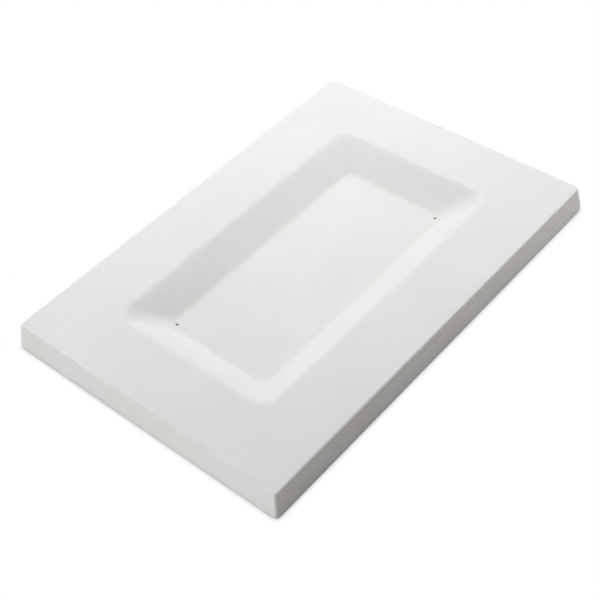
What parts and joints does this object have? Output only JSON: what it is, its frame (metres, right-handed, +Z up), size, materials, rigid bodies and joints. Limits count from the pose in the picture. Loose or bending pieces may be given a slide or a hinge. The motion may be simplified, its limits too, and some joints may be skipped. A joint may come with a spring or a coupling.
{
  "type": "slumping mold",
  "caption": "Shallow rectangular kiln mold of bisque ceramic: a wide flat rim around a sunken well with sloping walls and small vents, on a short flared skirt, hollow underneath.",
  "frame": {"origin": "centre of the footprint, on the surface that the foot stands on", "axes": "+X along the length, +Y across the width, +Z up out of the well"},
  "size_m": [0.3624, 0.2474, 0.0215],
  "materials": {
    "bisque": "matte"
  },
  "bodies": {
    "root": {"mold_shell": "bisque"}
  },
  "joints": []
}
